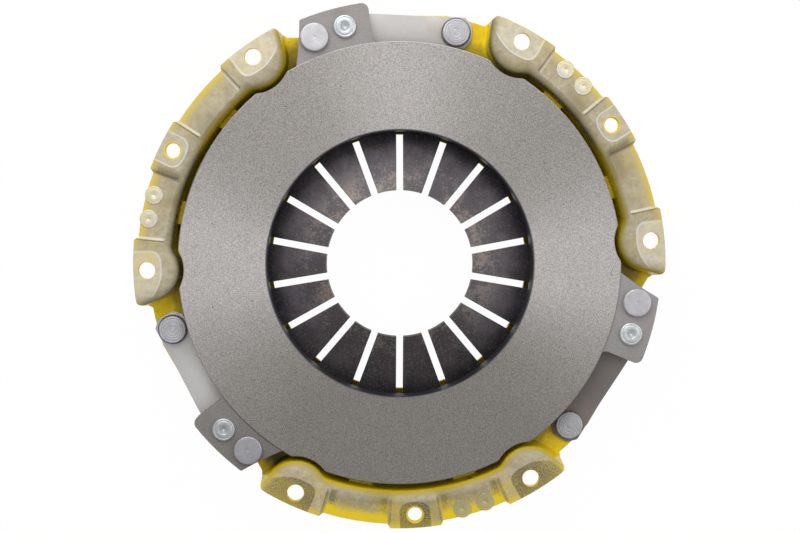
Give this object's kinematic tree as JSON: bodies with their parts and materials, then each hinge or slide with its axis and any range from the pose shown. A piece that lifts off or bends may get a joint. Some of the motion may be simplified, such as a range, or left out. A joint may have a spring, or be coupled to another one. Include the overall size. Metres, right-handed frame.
{
  "type": "clutch pressure plate",
  "caption": "Pull-type diaphragm clutch cover assembly: a stamped cover with mounting pads, a sprung ring with a ground friction face, leaf straps and a slotted diaphragm.",
  "frame": {"origin": "centre of the bolt circle on the plane of the flange pads' faces", "axes": "+Z along the rotation axis towards the flywheel; one dowel hole lies at -Y"},
  "size_m": [0.2904, 0.2882, 0.0401],
  "materials": {
    "cover_paint": "satin",
    "plate_iron": "ground",
    "spring_steel": "blued",
    "strap_steel": "rolled",
    "rivet_steel": "turned"
  },
  "bodies": {
    "cover_side": {"cover": "cover_paint", "fulcrum_ring": "strap_steel", "diaphragm_spring": "spring_steel", "strap_1_leaf_1": "strap_steel", "strap_1_leaf_2": "strap_steel", "strap_1_leaf_3": "strap_steel", "strap_2_leaf_1": "strap_steel", "strap_2_leaf_2": "strap_steel", "strap_2_leaf_3": "strap_steel", "strap_3_leaf_1": "strap_steel", "strap_3_leaf_2": "strap_steel", "strap_3_leaf_3": "strap_steel", "cover_rivet_1": "rivet_steel", "cover_rivet_2": "rivet_steel", "cover_rivet_3": "rivet_steel", "strap_washer_1": "rivet_steel", "strap_washer_2": "rivet_steel", "strap_washer_3": "rivet_steel", "flange_rivet_1a": "rivet_steel", "flange_rivet_1b": "rivet_steel", "flange_rivet_2a": "rivet_steel", "flange_rivet_2b": "rivet_steel", "flange_rivet_3a": "rivet_steel", "flange_rivet_3b": "rivet_steel"},
    "plate_side": {"pressure_plate": "plate_iron", "lug_rivet_1": "rivet_steel", "lug_rivet_2": "rivet_steel", "lug_rivet_3": "rivet_steel", "stop_pin_1": "rivet_steel", "stop_pin_2": "rivet_steel", "stop_pin_3": "rivet_steel"}
  },
  "joints": [
    {"name": "plate_lift", "type": "slide", "parent": "cover_side", "child": "plate_side", "axis": [0, 0, 1], "range_m": [-0.004, 0], "stiffness_N_per_m": 40000, "springref_m": 0.01, "deforming": ["diaphragm_spring", "strap_1_leaf_1", "strap_1_leaf_2", "strap_1_leaf_3", "strap_2_leaf_1", "strap_2_leaf_2", "strap_2_leaf_3", "strap_3_leaf_1", "strap_3_leaf_2", "strap_3_leaf_3"]}
  ]
}
